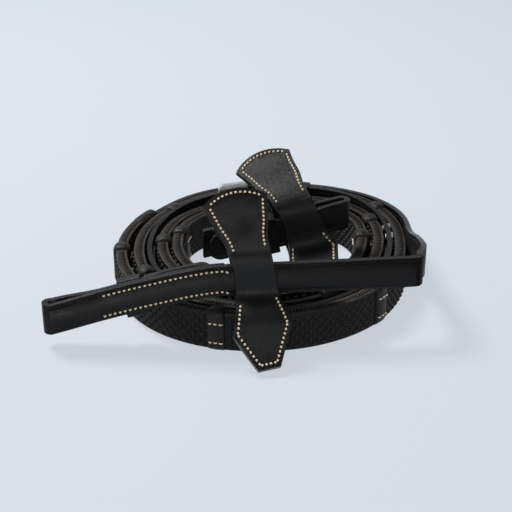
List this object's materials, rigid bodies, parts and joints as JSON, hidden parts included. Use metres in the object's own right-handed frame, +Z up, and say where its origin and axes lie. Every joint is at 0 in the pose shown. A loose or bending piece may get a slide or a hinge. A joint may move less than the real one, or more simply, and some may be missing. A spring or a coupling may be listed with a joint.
{
  "type": "leather reins",
  "caption": "Pair of black leather reins wound in a flat coil, with rubber grips, hand stops, sliding martingale stops, bit billets and a joining buckle.",
  "frame": {"origin": "middle of the bounding box, on the surface the coil stands on", "axes": "+Z up; +X towards the bend of the left rein, away from its bit loop; +Y towards the buckle at the back of the coil"},
  "size_m": [0.2256, 0.217, 0.0845],
  "materials": {
    "black_leather": "satin, creased and edge-dressed",
    "grip_rubber": "matte, moulded with small domes",
    "nickel": "polished, lightly worn",
    "stitching": "waxed linen thread"
  },
  "bodies": {
    "reins": {"buckle_frame": "nickel", "buckle_keeper": "black_leather", "left_billet_keeper": "black_leather", "left_billet_lining": "black_leather", "left_bit_strap": "black_leather", "left_end_cover_bit": "black_leather", "left_end_cover_hand": "black_leather", "left_grip_core": "black_leather", "left_hand_stop_1": "black_leather", "left_hand_stop_2": "black_leather", "left_hand_stop_3": "black_leather", "left_hand_stop_4": "black_leather", "left_hand_stop_5": "black_leather", "left_hand_stop_6": "black_leather", "left_hand_strap": "black_leather", "left_hook_stud": "nickel", "left_rubber_sleeve": "grip_rubber", "left_stud_plate": "nickel", "right_billet_keeper": "black_leather", "right_billet_lining": "black_leather", "right_bit_strap": "black_leather", "right_end_cover_bit": "black_leather", "right_end_cover_hand": "black_leather", "right_grip_core": "black_leather", "right_hand_stop_1": "black_leather", "right_hand_stop_2": "black_leather", "right_hand_stop_3": "black_leather", "right_hand_stop_4": "black_leather", "right_hand_stop_5": "black_leather", "right_hand_stop_6": "black_leather", "right_hand_strap": "black_leather", "right_hook_stud": "nickel", "right_rubber_sleeve": "grip_rubber", "right_stud_plate": "nickel", "splice_rivets": "nickel"},
    "left_stop": {"left_stop_front": "black_leather", "left_stop_back": "black_leather"},
    "right_stop": {"right_stop_front": "black_leather", "right_stop_back": "black_leather"},
    "tongue": {"buckle_tongue": "nickel"},
    "running_keeper": {"running_keeper": "black_leather"}
  },
  "joints": [
    {"name": "left_stop_slide", "type": "slide", "parent": "reins", "child": "left_stop", "axis": [0.9952, 0.0976, 0], "range_m": [0, 0.055]},
    {"name": "right_stop_slide", "type": "slide", "parent": "reins", "child": "right_stop", "axis": [0.9647, 0.2064, 0.1638], "range_m": [0, 0.004]},
    {"name": "tongue_hinge", "type": "hinge", "parent": "reins", "child": "tongue", "pos_m": [0.00439, 0.08735, 0.0205], "axis": [0, 0, -1], "range_deg": [0, 3]},
    {"name": "running_keeper_slide", "type": "slide", "parent": "reins", "child": "running_keeper", "axis": [-0.9884, 0.1516, 0], "range_m": [-0.001, 0.001]}
  ]
}
